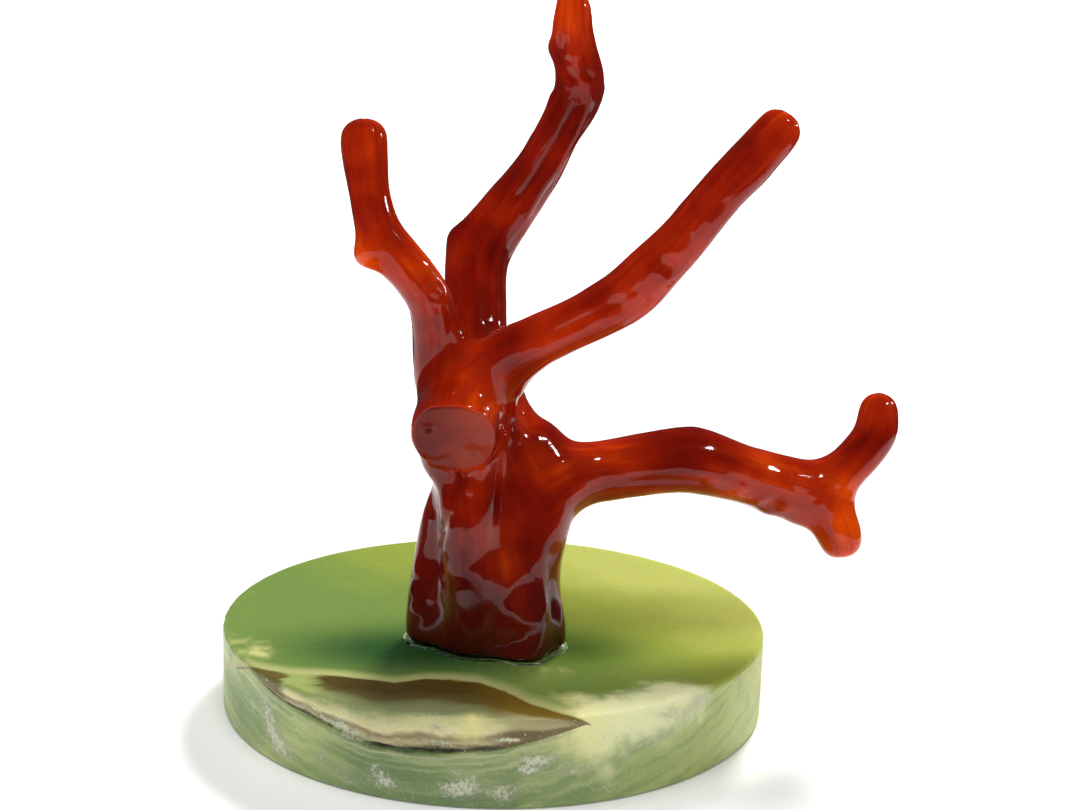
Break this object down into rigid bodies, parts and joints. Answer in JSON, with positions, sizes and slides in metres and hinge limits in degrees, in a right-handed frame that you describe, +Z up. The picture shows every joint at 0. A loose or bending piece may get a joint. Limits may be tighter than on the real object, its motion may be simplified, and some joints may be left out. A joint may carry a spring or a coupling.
{
  "type": "red coral branch on an onyx base",
  "caption": "Polished red coral branch with a fluted trunk, a cut stub and slender forking arms, standing on a round disc of green onyx.",
  "frame": {"origin": "centre of the onyx disc's flat underside", "axes": "+Z up along the disc's axis; -Y towards the side that the cut stub faces; +X towards the forked lower branch"},
  "size_m": [0.0997, 0.08, 0.104],
  "materials": {
    "red_coral": "polished",
    "green_onyx": "polished"
  },
  "bodies": {
    "root": {"onyx_base": "green_onyx", "trunk": "red_coral", "left_branch": "red_coral", "tall_branch": "red_coral", "upper_right_branch": "red_coral", "lower_right_branch": "red_coral", "upturned_tip": "red_coral", "downturned_tip": "red_coral"}
  },
  "joints": []
}
